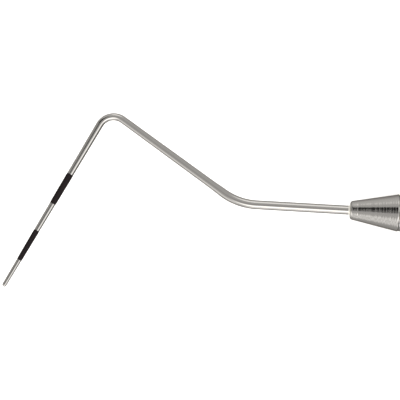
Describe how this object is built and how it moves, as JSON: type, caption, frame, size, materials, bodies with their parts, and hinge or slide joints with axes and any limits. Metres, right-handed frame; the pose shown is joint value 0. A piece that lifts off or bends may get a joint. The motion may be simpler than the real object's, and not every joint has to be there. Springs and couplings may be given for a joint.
{
  "type": "periodontal probe",
  "caption": "Hand probe with a bent, tapered, black-banded steel tip whose turned cone screws into a hollow knurled handle.",
  "frame": {"origin": "on the handle's axis, at the middle of its plain barrel", "axes": "+X along the handle's axis, from the tip towards the rear cap; +Y across it in the plane of the bent tip, away from the working end; +Z square to that plane, up as the probe lies on its side"},
  "size_m": [0.1643, 0.0164, 0.008],
  "materials": {
    "wire_steel": "hardened stainless steel wire, drawn, ground to a taper and polished",
    "band_black": "black enamel baked into a ground recess",
    "braze_silver": "silver braze, flowed and pickled",
    "turned_steel": "stainless steel, fine-turned with the tool's rings left on",
    "seal_rubber": "moulded black nitrile rubber",
    "polished_steel": "stainless steel, turned and polished",
    "handle_steel": "stainless steel tube, knurled and satin-polished"
  },
  "bodies": {
    "handle": {"front_ferrule": "polished_steel", "handle_tube": "handle_steel", "rear_cap": "polished_steel"},
    "seal": {"seal_ring": "seal_rubber"},
    "tip": {"nose_cone": "turned_steel", "braze_fillet": "braze_silver", "probe_wire": "wire_steel", "band_3_to_6": "band_black", "band_9_to_12": "band_black"}
  },
  "joints": [
    {"name": "tip_travel", "type": "slide", "parent": "handle", "child": "seal", "axis": [-1, 0, 0], "range_m": [0, 0.004]},
    {"name": "tip_unscrew", "type": "hinge", "parent": "seal", "child": "tip", "pos_m": [-0.068, 0, 0], "axis": [-1, 0, 0], "range_deg": [0, 3600]}
  ],
  "couplings": [
    {"joint": "tip_unscrew", "follows": "tip_travel", "rad_per_m": 15708}
  ]
}
